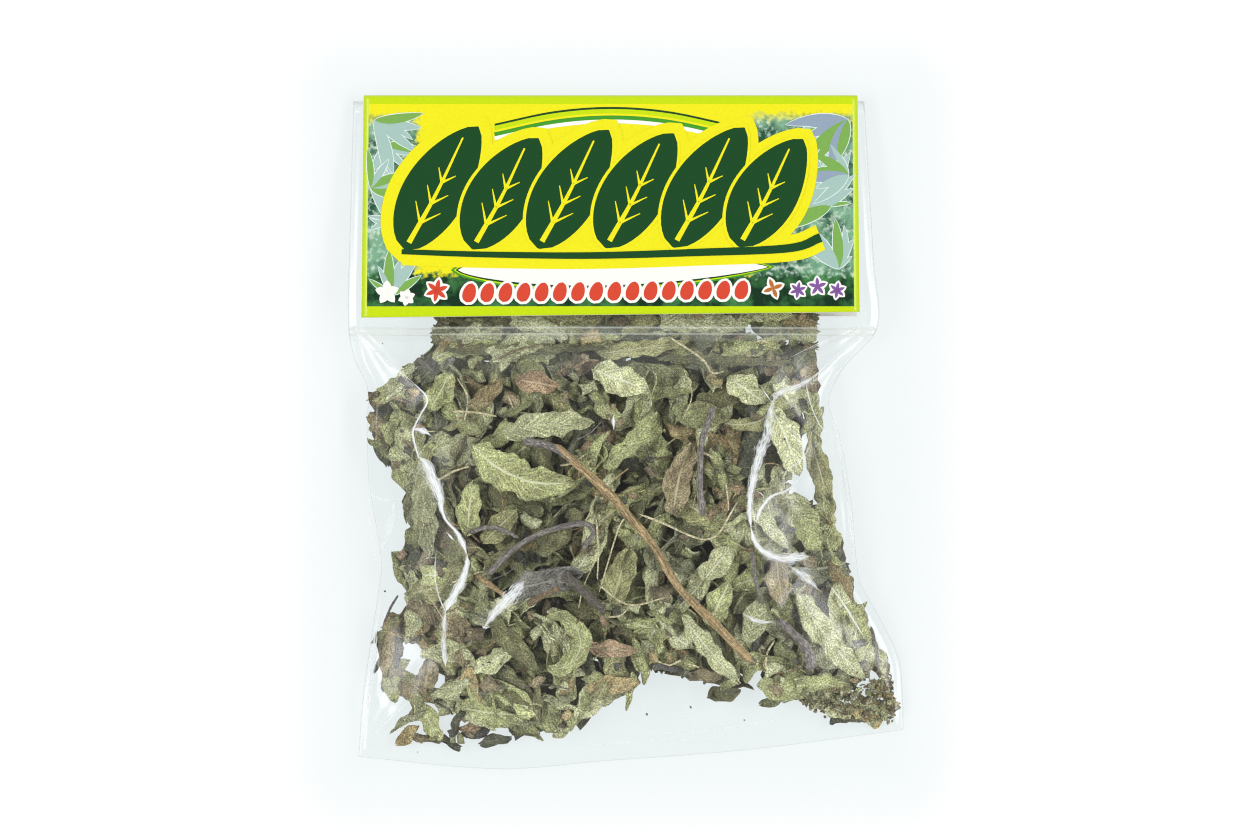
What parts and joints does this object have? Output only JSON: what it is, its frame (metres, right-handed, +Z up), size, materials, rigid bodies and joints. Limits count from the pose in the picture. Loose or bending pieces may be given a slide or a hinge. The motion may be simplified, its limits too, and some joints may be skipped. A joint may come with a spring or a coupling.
{
  "type": "packet of dried sage",
  "caption": "Flat clear press-seal bag of loose dried sage leaves and stems, closed by a printed card folded over its mouth.",
  "frame": {"origin": "centre of the box round the packet, on the surface that it lies on", "axes": "+X across the bag, +Y from the bag's bottom edge to the card's fold, +Z up through the front panel"},
  "size_m": [0.1578, 0.1914, 0.0241],
  "materials": {
    "printed_card": "satin coated print",
    "clear_film": "clear and glossy",
    "leaf_heap": "matte dried leaf",
    "leaf_brown": "matte",
    "leaf_dark": "matte",
    "leaf_green": "matte",
    "leaf_grey": "matte",
    "leaf_olive": "matte",
    "leaf_pale": "matte",
    "leaf_rust": "matte",
    "leaf_tan": "matte",
    "stem_brown": "matte",
    "stem_dark": "matte",
    "stem_grey": "matte",
    "stem_tan": "matte"
  },
  "bodies": {
    "root": {"header_card": "printed_card", "bag": "clear_film", "heap_upper_left": "leaf_heap", "heap_upper_middle": "leaf_heap", "heap_upper_right": "leaf_heap", "heap_left": "leaf_heap", "heap_middle": "leaf_heap", "heap_right": "leaf_heap", "heap_lower_left": "leaf_heap", "heap_lower_middle": "leaf_heap", "heap_lower_right": "leaf_heap", "leaf_arched": "leaf_pale", "leaf_bright": "leaf_pale", "leaf_wide": "leaf_pale", "leaf_upright": "leaf_pale", "leaf_lobed": "leaf_green", "leaf_slanting": "leaf_olive", "leaf_boat": "leaf_brown", "leaf_forked": "leaf_green", "leaf_lying_right": "leaf_dark", "leaf_veined": "leaf_pale", "leaf_ashy": "leaf_pale", "leaf_tucked": "leaf_green", "leaf_draped": "leaf_green", "leaf_under_ribs": "leaf_olive", "leaf_rounded": "leaf_pale", "leaf_ring": "leaf_green", "leaf_lance": "leaf_pale", "leaf_long_pale": "leaf_pale", "leaf_slash": "leaf_pale", "leaf_oval": "leaf_pale", "leaf_oval_below": "leaf_green", "leaf_stub": "leaf_green", "leaf_pale_flap": "leaf_pale", "leaf_edge_right": "leaf_green", "leaf_edge_left": "leaf_green", "leaf_tan_left": "leaf_tan", "leaf_corner_curl": "leaf_green", "leaf_disc": "leaf_brown", "leaf_foot_left": "leaf_green", "leaf_foot_middle": "leaf_pale", "leaf_slope": "leaf_olive", "leaf_ashen": "leaf_grey", "leaf_olive": "leaf_olive", "leaf_amber": "leaf_olive", "leaf_chip": "leaf_pale", "leaf_rust": "leaf_rust", "leaf_hooked": "leaf_tan", "leaf_yellowed": "leaf_green", "leaf_far_left": "leaf_green", "leaf_swirled": "leaf_green", "leaf_narrow": "leaf_pale", "leaf_umber": "leaf_brown", "stem_long": "stem_tan", "stem_mauve_upper": "stem_grey", "stem_mauve_lower": "stem_grey", "stem_dark": "stem_dark", "stem_bowed": "stem_grey", "stem_pale_stick": "stem_tan", "stem_paired": "stem_brown"}
  },
  "joints": []
}
